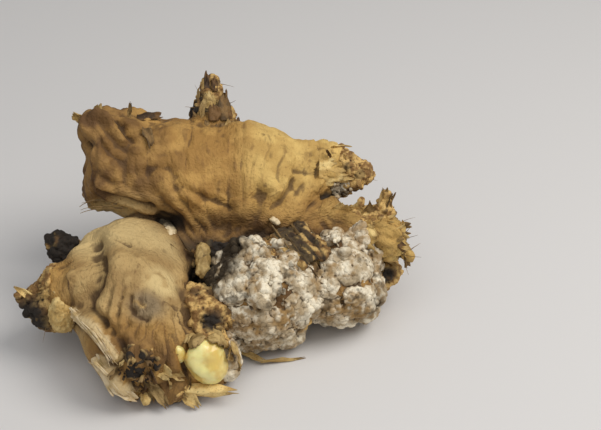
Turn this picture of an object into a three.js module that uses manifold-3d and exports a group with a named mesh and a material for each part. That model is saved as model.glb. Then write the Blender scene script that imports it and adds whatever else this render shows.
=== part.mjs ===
// A dried ginger rhizome: one piece of root, grown as a clump of stubby fingers.
// A thick main finger lies across the top. A broad finger and its knobs run forward from it on the left.
// Two round knobs and a broken bud sit in front, a slim finger with a ragged crown points right, and a bud
// stands up at the back. Two short fingers under the main one carry it behind. Where the clump stands, its
// skin is pressed flat.
// Millimetres, +Z up, +Y to the back. The origin is in the middle of the clump, on the surface it rests on.
import * as THREE from "three";
import { ImprovedNoise } from "three/addons/math/ImprovedNoise.js";
import { mergeVertices } from "three/addons/utils/BufferGeometryUtils.js";
import Module from "manifold-3d";

// Driving dimensions, in millimetres. Each thickness is a finger's greatest diameter.
const MAIN_THICKNESS = 34;
const MAIN_LENGTH = 86;
const LEFT_THICKNESS = 38;
const SIDE_KNOB_THICKNESS = 17;
const STUB_THICKNESS = 9.6;
const BROKEN_BUD_THICKNESS = 20;
const FRONT_KNOB_THICKNESS = 34;
const RIGHT_KNOB_THICKNESS = 27;
const CROWN_FINGER_THICKNESS = 17;
const BACK_BUD_LENGTH = 25;
const BACK_FINGER_THICKNESS = 24;
const PRESSED = 0.5; // how far the lowest skin is pressed flat where the clump stands
const FACET = 3.3; // the edge length that the skin is drawn with
const LUMP = { size: 15, height: 1.5 }; // the swellings that every finger has
const PUCKER = { size: 6, height: 0.7 }; // the drying wrinkles between them

const wasm = await Module();
wasm.setup();
const noise = new ImprovedNoise();
const at = (x, y, z) => new THREE.Vector3(x, y, z);

// How much of a finger's radius is left at distance s from an end that is rounded over a length.
const roundedEnd = (s, length) => (s >= length ? 1 : Math.sqrt(Math.max(0, 1 - (1 - s / length) ** 2)));

// One finger: a round profile turned on a lathe, bent along its spine, and swollen and puckered by noise.
// The radii are spread evenly along the spine, ends says how far each end is rounded, and flat is the
// finger's height as a share of its width.
function finger({ spine, radii, ends, flat = 1, lump = 1, seed = 0 }) {
  const curve = new THREE.CatmullRomCurve3(spine);
  const length = curve.getLength();
  const chord = spine.at(-1).clone().sub(spine[0]).normalize();
  const reference = Math.abs(chord.z) > 0.8 ? at(0, 1, 0) : at(0, 0, 1);
  const last = radii.length - 1;
  const widths = new THREE.SplineCurve(radii.map((r, i) => new THREE.Vector2(i / last, r)));
  const rows = Math.max(7, Math.round((length + ends[0] + ends[1]) / FACET));
  const sides = Math.max(10, Math.round((2 * Math.PI * Math.max(...radii)) / FACET));
  const profile = [];
  for (let i = 0; i <= rows; i++) {
    const crowded = (1 - Math.cos((Math.PI * i) / rows)) / 2;
    const s = (crowded + i / rows) / 2; // rows lie closer at the rounded ends
    const round = roundedEnd(s * length, ends[0]) * roundedEnd((1 - s) * length, ends[1]);
    const onAxis = i === 0 || i === rows;
    profile.push(new THREE.Vector2(onAxis ? 0 : widths.getPoint(s).y * round, s * length));
  }
  const geometry = new THREE.LatheGeometry(profile, sides);
  const position = geometry.getAttribute("position");
  const turned = new THREE.Vector3();
  for (let i = 0; i < position.count; i++) {
    turned.fromBufferAttribute(position, i);
    const s = THREE.MathUtils.clamp(turned.y / length, 0, 1);
    const along = curve.getTangentAt(s);
    const aside = along.clone().cross(reference).normalize();
    const upward = aside.clone().cross(along);
    const outward = aside.multiplyScalar(turned.x).addScaledVector(upward, turned.z * flat);
    const skin = curve.getPointAt(s).add(outward);
    const wave = (size) =>
      noise.noise(skin.x / size + seed, skin.y / size - seed, skin.z / size + 2 * seed);
    const swell = lump * (LUMP.height * wave(LUMP.size) + PUCKER.height * wave(PUCKER.size));
    const away = outward.lengthSq() > 0 ? outward.normalize() : along.multiplyScalar(s < 0.5 ? -1 : 1);
    position.setXYZ(i, ...skin.addScaledVector(away, swell).toArray());
  }
  return geometry;
}

// A dry scale that ends in a point: a small finger with one fine end.
function scale(root, tip, width, seed) {
  const spine = [root, root.clone().lerp(tip, 0.5), tip];
  const radii = [width, 0.8 * width, 0.3 * width];
  return finger({ spine, radii, ends: [width, 0.4 * width], lump: 0.4, seed });
}

// The main finger, broken off square on the left under a swollen lip, and drawn out to a bud on the right.
// Its belly hangs down in front, over the knobs.
function mainFinger() {
  const r = MAIN_THICKNESS / 2;
  const left = -0.46 * MAIN_LENGTH;
  const on = (share, y, z) => at(left + share * MAIN_LENGTH, y, z);
  const bud = on(0.95, 61, 46.5);
  return [
    finger({
      spine: [
        on(-0.025, 60, 46.5), on(0.09, 61, 44.5), on(0.22, 61, 41), on(0.38, 60, 38.5),
        on(0.56, 60.5, 38), on(0.73, 61.5, 38), on(0.86, 63, 39.5), on(1, 62, 38),
      ],
      radii: [0.93 * r, 0.97 * r, 0.97 * r, 1.0 * r, 1.0 * r, 0.78 * r, 0.47 * r, 0.4 * r],
      ends: [3, 8], flat: 0.97, seed: 3.1,
    }),
    finger({
      spine: [on(-0.04, 59, 55.5), on(0.05, 60, 56.5), on(0.18, 62, 52)],
      radii: [6, 6.5, 5], ends: [3, 5], lump: 1.3,
    }),
    finger({
      spine: [on(0.28, 55, 34), on(0.48, 54, 31.5), on(0.66, 54, 30.5), on(0.82, 56, 30)],
      radii: [0.68 * r, 0.82 * r, 0.78 * r, 0.62 * r], ends: [9, 9], seed: 4.9,
    }),
    scale(on(0.85, 62, 43), bud, 3, 5),
  ];
}

// The broad finger on the left, with the knob at its side and the dark stub behind it.
function leftFinger() {
  const r = LEFT_THICKNESS / 2;
  const flat = 0.92;
  const high = flat * r;
  const middle = at(-25, 29, high - PRESSED);
  const knob = SIDE_KNOB_THICKNESS / 2;
  const stub = STUB_THICKNESS / 2;
  return [
    finger({
      spine: [
        at(-27, 52, 1.43 * high), at(-26, 42, 1.2 * high), middle,
        at(-22.5, 12, 0.8 * high), at(-18.5, -4, 0.46 * high),
      ],
      radii: [0.7 * r, 0.93 * r, 1.0 * r, 0.82 * r, 0.6 * r], ends: [8, 7], flat, seed: 7.7,
    }),
    finger({
      spine: [middle.clone().add(at(-6, 4, 4)), at(-45, 25, 18), at(-57.5, 20.5, 15)],
      radii: [0.95 * knob, 0.92 * knob, 1.05 * knob, 0.9 * knob], ends: [5, 6], lump: 1.4, seed: 1.3,
    }),
    scale(at(-55, 21, 18.5), at(-59.5, 20.5, 24), 2, 2),
    finger({
      spine: [at(-38, 41, 19), at(-46.5, 43, 21), at(-53, 47.5, 27)],
      radii: [0.94 * stub, stub, 0.96 * stub], ends: [3, 4], seed: 9.2,
    }),
  ];
}

// The broken bud in front, the rough knob above it and the torn foot that joins it to the left finger.
function brokenBud() {
  const r = BROKEN_BUD_THICKNESS / 2;
  return [
    finger({
      spine: [at(-8, 22, 1.1 * r), at(-3.5, 11, r - PRESSED), at(-2.5, -0.5, 0.75 * r)],
      radii: [0.8 * r, r, 0.9 * r], ends: [6, 7], seed: 4.4,
    }),
    finger({
      spine: [at(-9, 26, 16), at(-3.5, 18, 18), at(1, 10, 17.5)],
      radii: [7, 8.5, 6.5], ends: [5, 5], lump: 1.4, seed: 5.9,
    }),
    finger({
      spine: [at(-22, 8, 7), at(-14, 2, 5.5), at(-8.5, -3, 4.5)],
      radii: [8, 6.5, 5], ends: [4, 4], lump: 1.3, seed: 6.3,
    }),
  ];
}

// The two round knobs in front, the small bud beside them, and the shrivelled shoulders that join them to
// the main finger.
function frontKnobs() {
  const front = FRONT_KNOB_THICKNESS / 2;
  const right = RIGHT_KNOB_THICKNESS / 2;
  return [
    finger({
      spine: [at(8, 44, 21), at(12.5, 31, front + PRESSED), at(15, 12.5, 0.81 * front)],
      radii: [0.75 * front, front, 1.04 * front, 0.8 * front], ends: [10, 9], lump: 1.5, seed: 8.2,
    }),
    finger({
      spine: [at(31, 48, 24), at(36, 38, 1.33 * right), at(38, 22.5, 0.84 * right)],
      radii: [0.78 * right, right, 1.06 * right, 0.86 * right], ends: [7, 8], lump: 1.5, seed: 2.6,
    }),
    finger({
      spine: [at(42, 42, 14), at(49, 45, 12.5), at(56, 46.5, 12)],
      radii: [5, 5.2, 4.8], ends: [3, 3], seed: 6.6,
    }),
    finger({
      spine: [at(18, 56, 26), at(23, 48, 22), at(27, 40, 17)],
      radii: [11, 12.5, 10], ends: [8, 8], lump: 1.2, seed: 3.8,
    }),
    finger({
      spine: [at(-17, 50, 24), at(-3, 47, 20), at(14, 50, 22)],
      radii: [11, 14.5, 12], ends: [8, 9], lump: 1.2, seed: 5.1,
    }),
  ];
}

// The slim finger on the right, which opens into a ragged crown of dry scales.
function crownFinger() {
  const r = CROWN_FINGER_THICKNESS / 2;
  return [
    finger({
      spine: [at(22, 57, 33), at(32, 51, 29), at(42, 47, 27), at(50, 44.5, 26), at(57, 42.5, 24)],
      radii: [0.95 * r, 0.68 * r, 0.78 * r, r, 0.72 * r], ends: [5, 5], lump: 1.2, seed: 1.9,
    }),
    scale(at(44, 48, 31), at(43.5, 49, 37.5), 3.2, 4),
    scale(at(49, 47, 31), at(51.5, 49, 41), 2.6, 8),
    scale(at(56, 43, 25), at(60, 42, 18), 2.2, 6),
  ];
}

// The bud that stands up behind the main finger.
function backBud() {
  const root = at(-2, 68, 43);
  const tip = root.clone().addScaledVector(at(-0.05, 0.62, 0.78).normalize(), BACK_BUD_LENGTH);
  const middle = root.clone().lerp(tip, 0.5).add(at(-1, 0, 0));
  const radii = [10, 6.9, 1.8];
  return [finger({ spine: [root, middle, tip], radii, ends: [5, 2], lump: 1.4, seed: 7.1 })];
}

// The short fingers underneath, which lie on the surface behind.
function backFingers() {
  const r = BACK_FINGER_THICKNESS / 2;
  const low = r - PRESSED - LUMP.height; // low enough where a lump hollows the skin
  return [
    finger({
      spine: [at(-4, 56, 25), at(-11, 64, 17.5), at(-18.5, 70.5, low + 0.8), at(-26, 76, low - 1)],
      radii: [r, r, r, 0.8 * r], ends: [8, 8], seed: 2.2,
    }),
    finger({
      spine: [at(10, 57, 24), at(13, 65, 17), at(15.5, 72.5, low + 0.8), at(17, 80, low - 1)],
      radii: [0.92 * r, 0.96 * r, r, 0.78 * r], ends: [8, 8], seed: 9.9,
    }),
  ];
}

// A closed geometry as a manifold-3d solid, and back again.
function solid(geometry) {
  const bare = new THREE.BufferGeometry().setIndex(geometry.index);
  bare.setAttribute("position", geometry.getAttribute("position"));
  const merged = mergeVertices(bare, 1e-3);
  const vertProperties = merged.attributes.position.array;
  const triVerts = new Uint32Array(merged.index.array);
  return new wasm.Manifold(new wasm.Mesh({ numProp: 3, vertProperties, triVerts }));
}

function geometryOf(manifold) {
  const mesh = manifold.getMesh();
  const geometry = new THREE.BufferGeometry();
  geometry.setAttribute("position", new THREE.BufferAttribute(new Float32Array(mesh.vertProperties), 3));
  geometry.setIndex(new THREE.BufferAttribute(new Uint32Array(mesh.triVerts), 1));
  geometry.computeVertexNormals();
  return geometry;
}

// Everything below the surface that the clump stands on.
function ground() {
  const size = 4 * MAIN_LENGTH;
  return new THREE.BoxGeometry(size, size, size).translate(0, 0, -size / 2);
}

const fingers = [mainFinger, leftFinger, brokenBud, frontKnobs, crownFinger, backBud, backFingers];
const grown = fingers.flatMap((make) => make()).map(solid);
const clump = grown.reduce((whole, next) => whole.add(next)).subtract(solid(ground()));
// Pockets that the fingers close in come out as bodies of negative volume, and only those are left out.
const grownBodies = clump.decompose().filter((body) => body.volume() > 0);
const rootBody = wasm.Manifold.compose(grownBodies);
const skin = geometryOf(rootBody);
skin.computeBoundingBox();
const box = skin.boundingBox;
skin.translate(-(box.min.x + box.max.x) / 2, -(box.min.y + box.max.y) / 2, -box.min.z);

const driedSkin = new THREE.MeshStandardMaterial({ color: 0xb98f58, roughness: 0.85, metalness: 0 });
const rhizome = new THREE.Mesh(skin, driedSkin);
rhizome.name = "ginger_rhizome";

const ginger = new THREE.Group();
ginger.name = "ginger_root";
ginger.add(rhizome);
export default ginger;
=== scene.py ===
import bmesh
import bpy
import numpy as np
from mathutils import Matrix, Vector, noise
from mathutils.bvhtree import BVHTree
from mathutils.kdtree import KDTree


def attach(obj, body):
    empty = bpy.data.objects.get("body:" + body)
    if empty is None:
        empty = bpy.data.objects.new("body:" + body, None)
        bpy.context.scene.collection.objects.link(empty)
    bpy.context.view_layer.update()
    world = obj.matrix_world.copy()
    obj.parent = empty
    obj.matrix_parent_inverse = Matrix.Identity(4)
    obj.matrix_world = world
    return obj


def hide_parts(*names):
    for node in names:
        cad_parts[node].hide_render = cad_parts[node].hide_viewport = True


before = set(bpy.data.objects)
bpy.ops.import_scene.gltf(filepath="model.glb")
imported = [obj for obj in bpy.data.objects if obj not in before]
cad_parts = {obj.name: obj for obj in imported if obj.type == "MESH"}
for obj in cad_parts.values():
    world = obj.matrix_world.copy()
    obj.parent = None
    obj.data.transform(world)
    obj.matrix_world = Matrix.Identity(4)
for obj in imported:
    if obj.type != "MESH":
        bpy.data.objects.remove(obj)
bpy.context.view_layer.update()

# ---------------------------------------------------------------------------------------------------------
# The rhizome. One piece of root, grown as a clump of stubby fingers in a thin cork skin. As it dried the
# flesh shrank, so the skin puckered along the fingers, and the old leaf scars stand out as rings round them.

MM = 0.001
SKIN_GRAIN = 0.63 * MM
SKIN_SMOOTHING = 7
GAP_REACH = 11

# The line along the middle of each finger, in millimetres, and the finger's radius.
FINGERS = {
    "main": ([(-42, 20.6, 46.5), (-32, 21.6, 44.5), (-21, 21.6, 41), (8, 21, 38), (34, 23, 39),
              (46, 22.6, 38)], 16.5),
    "lip": ([(-43.4, 19.6, 55.5), (-35.7, 20.6, 56.5), (-24.5, 22.6, 52)], 7),
    "belly": ([(-16, 15.6, 34), (1.3, 14.6, 31.5), (16.8, 14.6, 30.5), (30.6, 16.6, 30)], 13),
    "left": ([(-27.4, 12.6, 25), (-26.4, 2.6, 21), (-25.4, -10.4, 17), (-22.9, -27.4, 14),
              (-19, -43, 8)], 17),
    "side": ([(-40, -12, 19.5), (-46, -14.5, 18), (-58, -19, 15)], 8),
    "stub": ([(-42, 2, 20), (-47, 3.5, 21), (-53.5, 8, 27)], 4.8),
    "broken": ([(-8, -17, 11), (-4, -28, 9.5), (-3, -40, 7.5)], 9.5),
    "rough": ([(-9, -13, 16), (-4, -21, 18), (1, -29, 17.5)], 8),
    "foot": ([(-22, -33, 7), (-14, -37, 5.5), (-9, -42, 4.5)], 6.5),
    "front": ([(8, 2, 21), (12, -8, 17.5), (14.5, -27, 14)], 16.5),
    "right": ([(32, 5, 23), (35.5, -1, 18), (37.5, -17, 11.5)], 13.5),
    "bud": ([(42, 3, 14), (48.5, 5.5, 12.5), (55.5, 7, 12)], 5),
    "shoulder": ([(17.5, 17, 26), (22.5, 9, 22), (26.5, 1, 17)], 12),
    "neck": ([(-17.4, 10.6, 24), (-3.4, 7.6, 20), (13.6, 10.6, 22)], 14),
    "crown": ([(22, 17.5, 33), (32, 12, 29), (42, 8, 27), (50, 5, 26), (57, 3, 24)], 7.5),
    "back_bud": ([(-2, 29, 43), (-3.5, 37, 53), (-3.5, 44, 62)], 6.5),
    "behind": ([(-4.4, 16.6, 25), (-11.4, 24.6, 17.5), (-18.9, 31.1, 10.8), (-26.4, 36.6, 9)], 11.5),
    "behind_right": ([(9.6, 17.6, 24), (12.6, 25.6, 17), (15.1, 33.1, 10.8), (16.6, 40.6, 9)], 11.5),
}


def redrawn(mesh, name, grain, smoothing):
    """The closed mesh drawn again in even faces of the grain's size, and smoothed."""
    rough = bpy.data.objects.new(name + "_rough", mesh)
    bpy.context.collection.objects.link(rough)
    even = rough.modifiers.new("even", "REMESH")
    even.mode = "VOXEL"
    even.voxel_size = grain
    soft = rough.modifiers.new("soft", "SMOOTH")
    soft.factor = 0.5
    soft.iterations = smoothing
    evaluated = rough.evaluated_get(bpy.context.evaluated_depsgraph_get())
    drawn = bpy.data.meshes.new_from_object(evaluated)
    bpy.data.objects.remove(rough)
    drawn.name = name
    return drawn


def points_of(mesh):
    """The mesh's points, in millimetres."""
    flat = np.empty(3 * len(mesh.vertices))
    mesh.vertices.foreach_get("co", flat)
    return flat.reshape(-1, 3) / MM


def put_points(mesh, points):
    """Moves the mesh's points, and presses flat what would lie below the floor."""
    points = points.copy()
    points[:, 2] = np.maximum(points[:, 2], 0)
    mesh.vertices.foreach_set("co", (points * MM).ravel())
    mesh.update()


def normals_of(mesh):
    flat = np.empty(3 * len(mesh.vertices))
    mesh.vertex_normals.foreach_get("vector", flat)
    return flat.reshape(-1, 3)


def edges_of(mesh):
    flat = np.empty(2 * len(mesh.edges), np.int32)
    mesh.edges.foreach_get("vertices", flat)
    return flat.reshape(-1, 2)


def relaxed(values, edges, times):
    """The values of the mesh's points, each drawn over and over to the mean of its neighbours."""
    ends, others = np.concatenate([edges, edges[:, ::-1]]).T
    count = np.bincount(ends, minlength=len(values))[:, None]
    for _ in range(times):
        sums = [np.bincount(ends, column[others], len(column)) for column in values.T]
        values = np.stack(sums, axis=1) / count
    return values


def hollows(mesh, times, depth):
    """How deep each point lies between its neighbours: 1 in a crease of the given depth, -1 on a ridge."""
    points = points_of(mesh)
    sunk = ((relaxed(points, edges_of(mesh), times) - points) * normals_of(mesh)).sum(axis=1)
    return np.clip(sunk / depth, -1, 1)


def enclosed(mesh, reach):
    """How much of what each point faces is more of the root within the reach: from 0 to 1 deep in a gap."""
    solid = bmesh.new()
    solid.from_mesh(mesh)
    tree = BVHTree.FromBMesh(solid)
    solid.free()
    steps = np.arange(16) + 0.5
    height, turn = 1 - steps / 8, 2.4 * steps
    flat = np.sqrt(1 - height ** 2)
    ways = [Vector(way) for way in np.stack([flat * np.cos(turn), flat * np.sin(turn), height], axis=1)]
    shut = []
    for point, normal in zip((points_of(mesh) * MM).tolist(), normals_of(mesh).tolist()):
        normal = Vector(normal)
        start = Vector(point) + normal * 0.4 * MM
        faced = [way for way in ways if way.dot(normal) > 0.2]
        shut.append(sum(tree.ray_cast(start, way, reach * MM)[0] is not None for way in faced) / len(faced))
    return relaxed(np.array(shut)[:, None], edges_of(mesh), 6)[:, 0]


def wave(points, size, seed=0.0):
    """Smooth chance values from about -1 to 1 that change over the given size."""
    return np.array([noise.noise(point) for point in (points / size + seed).tolist()])


def folded(points, size, seed=0.0):
    """Drawn-together skin: 0 in narrow valleys, and up to about 1 on the round folds between them."""
    return 1.7 * np.sqrt(wave(points, size, seed) ** 2 + 0.003)


def bulges(points, size, seed=0.0):
    """1 in the middle of round heads of about the given size, and falling to 0 between them."""
    nearest = np.array([noise.voronoi(point)[0][0] for point in (points / size + seed).tolist()])
    return np.sqrt(np.clip(1 - (nearest / 0.85) ** 2, 0, 1))


def stretched(points, direction, share):
    """The points with their distance along a direction cut to a share, so a wave runs long that way."""
    along = np.array(direction, float)
    along /= np.linalg.norm(along)
    return points - np.outer(points @ along, along) * (1 - share)


def ramp(values, low, high):
    """0 up to low, 1 from high, and smooth between them."""
    share = np.clip((values - low) / (high - low), 0, 1)
    return share * share * (3 - 2 * share)


def beside(points, line):
    """How far each point is from a line through the given places."""
    gap = np.full(len(points), np.inf)
    for start, end in zip(np.array(line[:-1], float), np.array(line[1:], float)):
        way = end - start
        share = np.clip((points - start) @ way / (way @ way), 0, 1)
        gap = np.minimum(gap, np.linalg.norm(points - start - share[:, None] * way, axis=1))
    return gap


def spot(points, centre, radius):
    """1 at the centre, and 0 from the radius on."""
    return 1 - ramp(np.linalg.norm(points - np.array(centre), axis=1), 0.35 * radius, radius)


def shares(points):
    """For each finger, how far each point belongs to it."""
    nearness = np.array([-9 * beside(points, line) / radius for line, radius in FINGERS.values()])
    weight = np.exp(nearness - nearness.max(axis=0))
    weight /= weight.sum(axis=0)
    return dict(zip(FINGERS, weight))


def keep_value(mesh, name, values):
    """Stores a value for each point, which the material reads by name."""
    mesh.attributes.new(name, "FLOAT", "POINT").data.foreach_set("value", values.astype(np.float32))


def keep_places(mesh, name, places):
    """Stores a place for each point, in metres, which the material reads by name."""
    kept = mesh.attributes.new(name, "FLOAT_VECTOR", "POINT")
    kept.data.foreach_set("vector", (places * MM).astype(np.float32).ravel())


cad_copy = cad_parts["ginger_rhizome"].data.copy()
merging = bmesh.new()
merging.from_mesh(cad_copy)
bmesh.ops.remove_doubles(merging, verts=merging.verts, dist=0.01 * MM)
merging.to_mesh(cad_copy)
merging.free()
skin_mesh = redrawn(cad_copy, "skin", SKIN_GRAIN, SKIN_SMOOTHING)

skin_points = points_of(skin_mesh)
skin_normals = normals_of(skin_mesh)
part = shares(skin_points)
x, y, z = skin_points.T

# Everything on the skin wanders, so no fold runs straight.
flow = skin_points + 3 * np.stack([wave(skin_points, 13, seed) for seed in (1.3, 4.7, 8.1)], axis=1)
body = part["main"] + part["lip"] + part["belly"]
left = part["left"]

# Leaf scars round the main finger, as places along it, with their depth.
LEAF_SCARS = {-22: -0.35, -9.3: 0.45, 7.2: 0.4, 25.5: 0.2}
rise = np.zeros(len(x))
scar_mark = np.zeros(len(x))
for place, depth in LEAF_SCARS.items():
    off = x - place - 1.3 * wave(skin_points, 9, place)
    groove = np.exp(-((off / 0.45) ** 2)) * ramp(wave(skin_points, 5, 5.5), -0.5, 0.2)
    rise += body * depth * (0.6 * np.exp(-(((off - 1.3) / 1.0) ** 2)) - groove)
    scar_mark += groove * max(depth, 0) * 1.1

# The main finger is uneven all over. Its right part has shrunk into soft folds, and its tip into scales.
rise += body * (1.4 * wave(flow, 14, 1.5) + 0.55 * wave(flow, 5, 2.6) + 0.22 * wave(skin_points, 1.9, 7.5))
shrunk = body * ramp(x, 9, 17)
rise += shrunk * (1.5 * folded(stretched(flow, (0.5, 0.3, -1), 0.45), 7, 4.4) - 0.5)
scaly = body * ramp(x, 25, 30)
steps = ((x + 1.8 * wave(skin_points, 5, 4.2)) / 3.3) % 1 - 0.5
rise += scaly * (0.9 * steps + 0.8 * wave(stretched(flow, (1, 0, -0.1), 0.2), 2.3, 6.6))

# Its old left end is torn, shrunken and folded.
old_end = body * (1 - ramp(x, -26, -12))
rise += old_end * (3.0 * folded(stretched(flow, (0.5, -0.3, -1), 0.4), 7, 2.5) - 2.0)
rise += old_end * (0.9 * folded(stretched(flow, (0.5, -0.3, -1), 0.4), 2.8, 5.5) - 0.3)

# Below, its skin is drawn in like a curtain toward the knobs that grow out of it.
turn = np.arctan2(x - 4, z - 20)
away = np.hypot(x - 4, z - 20)
fan = np.stack([24 * turn, 0.2 * away, 0.25 * y], axis=1) + 0.3 * (flow - skin_points)
curtain = (body * (1 - ramp(z, 39, 50)) + part["neck"] + part["shoulder"]) * (1 - ramp(y, 17, 23))
rise += curtain * (2.6 * folded(fan, 5.5, 3.5) + 1.1 * folded(fan, 2.4, 9.5) - 1.1)

# The left finger is smooth on top. Fine fibres run off its left side, and long folds down its front.
rise += left * (1.5 * wave(flow, 12, 2.9) + 0.35 * wave(skin_points, 3, 3.3))
side_fibres = stretched(flow, (-1, -0.5, -0.9), 0.1)
flank = (left + part["side"]) * ramp(-x, 32, 39) * (1 - ramp(-y, 17, 24))
rise += flank * (1.6 * folded(side_fibres, 2.8, 6.5) + 0.5 * wave(side_fibres, 1.3, 1.1) - 0.4)
front_folds = stretched(flow, (0.15, -0.6, -1), 0.13)
foot = left * ramp(-y, 21, 31) * ramp(x, -33, -28)
rise += foot * (2.0 * folded(front_folds, 3.4, 8.5) + 0.7 * folded(front_folds, 1.6, 0.5) - 0.8)

# Skin is stretched like a web from its left side to the side knob and the stub.
WEB = {"centre": (-41.5, -12, 23), "radius": 14, "pull": (-2.4, -1.4, 2.6)}
web_share = (left + part["side"]) * spot(skin_points, WEB["centre"], WEB["radius"])

# The crown finger has shrunk into ribs along its length.
ribs = stretched(flow, (1, -0.4, -0.25), 0.2)
rise += part["crown"] * (2.2 * folded(ribs, 4.5, 1.1) + 0.6 * wave(ribs, 1.9, 2.1) - 0.7)

# The rotten ends are lumpy, and the fingers behind are plain.
for name in ("side", "stub", "rough", "foot", "bud", "front", "right", "broken", "back_bud"):
    rise += part[name] * (1.1 * wave(skin_points, 4.5, 5.1) + 0.6 * wave(skin_points, 2, 6.1))
# Under the mould and the crumbs the skin is sunk in, so that they add little to the root's size.
mouldy = part["front"] * ramp(-y, 6, 9) + part["right"] * ramp(-y, -4, 0)
rise -= 1.7 * (mouldy + part["stub"] + part["rough"])
rise -= 1.2 * (part["side"] * ramp(-x, 47, 50) + part["back_bud"] * ramp(z, 49, 51))
for name in ("behind", "behind_right"):
    rise += part[name] * (0.7 * wave(flow, 7, 5.1) + 0.8 * folded(stretched(flow, (0, 1, -0.6), 3), 9, 6.1))

# Where skin has torn along the left finger's front edge, it is rolled up into thick pale ribbons.
TORN_EDGES = [
    [(-41, -25, 20.5), (-37, -30.5, 22), (-33.9, -34.3, 22.5), (-30.1, -39.3, 20.8), (-27.5, -42.3, 18.6)],
    [(-32.6, -40.3, 16), (-29, -43.6, 14), (-26.3, -44.2, 10.1), (-23.6, -43.7, 8)],
]
# Single wrinkles and, where the depth is negative, ridges: the line of each, its depth and its half width.
WRINKLES = [
    ([(20, 16, 50), (17.9, 12, 48), (17.5, 9.2, 45.5), (19.3, 8.4, 42.7)], 0.6, 1.0),
    ([(23, 11, 43.5), (21.7, 9.3, 41.8), (19, 6.2, 40.2), (16, 3.4, 38.5)], 0.7, 1.0),
    ([(-10.5, 5, 45), (-7.9, 4.3, 43.7), (-2.6, 4, 41), (4, 2.5, 39.1)], 0.9, 1.1),
    ([(-38, 8, 44), (-35.8, 6.3, 42.4), (-28.3, 5, 40.3), (-20.9, 4.7, 37.6)], 2.2, 1.3),
    ([(-37, 19, 62), (-32.1, 18.3, 61.1), (-28.5, 13, 57.3)], -1.8, 1.4),
    ([(-31, 19.5, 60.5), (-28.4, 16, 58.3), (-26.5, 14, 56.5)], 1.7, 1.6),
    ([(-36.3, -7.1, 32.4), (-34.1, -16.3, 31.8), (-34.2, -22.3, 29.1), (-36.4, -25.5, 26.5)], 2.8, 2.8),
    ([(-33, -4, 33), (-30.1, -7.7, 34.3), (-25.8, -9.9, 34.4)], 0.8, 0.6),
    ([(-34, -11.6, 32.7), (-32, -19.2, 31.9), (-33.5, -22.7, 29.4)], 1.0, 0.8),
    ([(-24.2, -28, 29.5), (-24.2, -30.6, 28.6), (-22.2, -33.5, 27), (-18.9, -34.6, 26.4)], 1.5, 0.9),
    ([(-28, -25.6, 30.2), (-28.8, -30.9, 27.1), (-29.6, -35.8, 23.7)], -1.3, 0.9),
    ([(-26.5, -29.3, 28.8), (-25.6, -35.5, 25)], -1.1, 0.7),
    ([(-20.5, 7.3, 48.5), (-18.3, 8, 50), (-15, 8, 49.6), (-12.6, 6.3, 47.2), (-12.4, 5.2, 44.8)], 0.7, 1.3),
    (TORN_EDGES[0], -1.7, 1.5),
    (TORN_EDGES[1], -1.9, 1.8),
    ([(-36, -27, 25), (-31, -34, 25), (-27.5, -38.5, 24), (-25, -41.5, 21), (-24.5, -43, 15)], 1.8, 1.2),
]
for line, depth, width in WRINKLES:
    gap = beside(skin_points, line) / width
    rise -= depth * (np.exp(-gap ** 2) - 0.3 * np.exp(-(gap - 2) ** 2))

put_points(skin_mesh, skin_points + skin_normals * rise[:, None] + np.outer(web_share, WEB["pull"]))

WORN = {"scar": ((-19.5, -30.5, 28), 7.5), "peeled_and_painted_light": ((-15.5, -21.5, 29.5), 7.5)}
VEINS = [WRINKLES[number][0] for number in (0, 7, 8, 9)]
skin_marks = body * np.clip(scar_mark, 0, 1)
for line in VEINS:
    skin_marks = np.maximum(skin_marks, 0.35 - 0.35 * ramp(beside(skin_points, line), 0.2, 1.2))
SPOTS = [((22.6, 12.7, 45.7), 1.6), ((13.9, 7.1, 44.4), 1.2), ((12.9, 20.3, 53.2), 1.2),
         ((-18.2, 21.5, 56.7), 3.4), ((-20.5, 7.5, 49.5), 2), ((-12.1, 5.1, 44.6), 2.4),
         ((20.5, 19, 51.5), 2.6)]
for centre, radius in SPOTS:
    blot = spot(skin_points, centre, radius) * ramp(wave(skin_points, 1.6), -0.5, 0)
    skin_marks = np.maximum(skin_marks, 0.6 * blot)
uneven = 0.5 + wave(flow, 8, 4.4)
# Painted shade: the deep gap where the neck, the front knob and the rough knob meet is painted near black.
painted_gap_shadow = (part["neck"] + part["front"] + part["rough"]) * ramp(-z, -32, -28)
painted_gap_shadow *= ramp(y, -16, -10) * (1 - ramp(x, 14, 20))
brown = old_end * (0.3 + 0.75 * uneven + 0.4 * ramp(-x, 28, 36)) + curtain * ramp(-z, -39, -28) * 0.7
brown += body * ramp(-x, 9, 11) * (1 - old_end) * 0.35 * uneven
# The left finger is browner toward its front, and its right flank is painted darker brown as shade.
brown += left * (ramp(-y, 35, 41) * uneven * 1.3 + ramp(x, -11, -7) * 0.7)
brown += part["side"] * (0.2 + 0.4 * uneven) * ramp(-x, 44, 54)
for name in ("stub", "rough", "foot", "bud", "shoulder", "neck", "back_bud", "front", "right"):
    brown += part[name] * (0.5 + 0.8 * uneven)
# Painted shade: how deep each point lies in a crease and between the fingers, darkened as shade.
creases = 0.6 * hollows(skin_mesh, 8, 0.22) + 0.8 * hollows(skin_mesh, 90, 2.6)
keep_value(skin_mesh, "hollow", np.clip(creases, -1, 1))
deep = enclosed(skin_mesh, GAP_REACH)
# The painted shade is kept light on top of the left finger and on the crown finger.
deep *= 1 - 0.8 * left * ramp(z, 24, 28) - 0.6 * part["crown"]
keep_value(skin_mesh, "deep", deep)
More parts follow.
